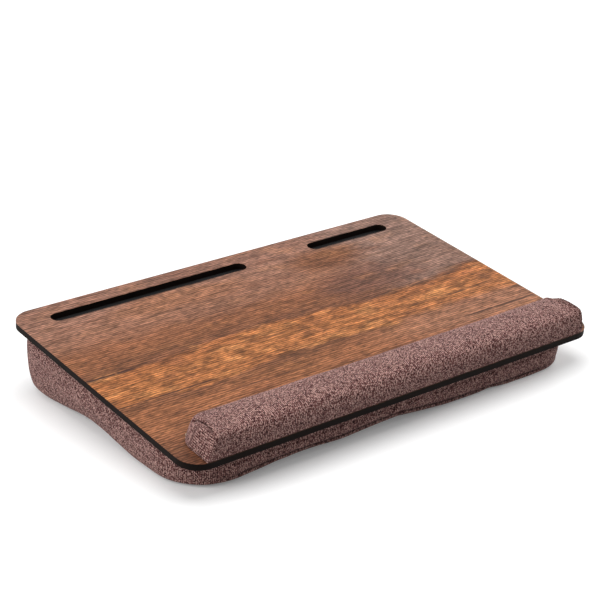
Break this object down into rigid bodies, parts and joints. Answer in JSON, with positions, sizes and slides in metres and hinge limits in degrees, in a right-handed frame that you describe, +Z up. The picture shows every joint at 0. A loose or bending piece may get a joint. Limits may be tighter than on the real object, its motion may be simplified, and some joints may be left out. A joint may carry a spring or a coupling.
{
  "type": "cushioned lap desk",
  "caption": "Cushioned lap desk: a thin wood-grain board with rounded corners, a padded fabric wrist rest, device slots along the rear edge and a wedge-shaped fabric cushion beneath.",
  "frame": {"origin": "on the surface that the desk stands on, under the middle of its length and depth", "axes": "+X along the long side towards the end with the short slot, +Y from the wrist rest to the rear edge, +Z up"},
  "size_m": [0.55, 0.3493, 0.0829],
  "materials": {
    "woodgrain": "satin",
    "board_core": "satin",
    "backing_paper": "matte",
    "rest_cloth": "matte",
    "cushion_cloth": "matte",
    "lining_cloth": "matte",
    "foam": "matte",
    "stiffener": "matte",
    "tape": "matte"
  },
  "bodies": {
    "root": {"board_woodgrain_laminate": "woodgrain", "board_core_panel": "board_core", "board_backing_sheet": "backing_paper", "wrist_rest_sleeve": "rest_cloth", "wrist_rest_end_left": "rest_cloth", "wrist_rest_end_right": "rest_cloth", "wrist_rest_foam": "foam", "wrist_rest_base_strip": "stiffener", "wrist_rest_tape_strips": "tape", "cushion_tape_strips": "tape", "cushion_top_lining": "lining_cloth", "cushion_side_band": "cushion_cloth", "cushion_base_left": "cushion_cloth", "cushion_base_right": "cushion_cloth", "cushion_filling_left": "foam", "cushion_filling_right": "foam", "cushion_centre_web": "lining_cloth"}
  },
  "joints": []
}
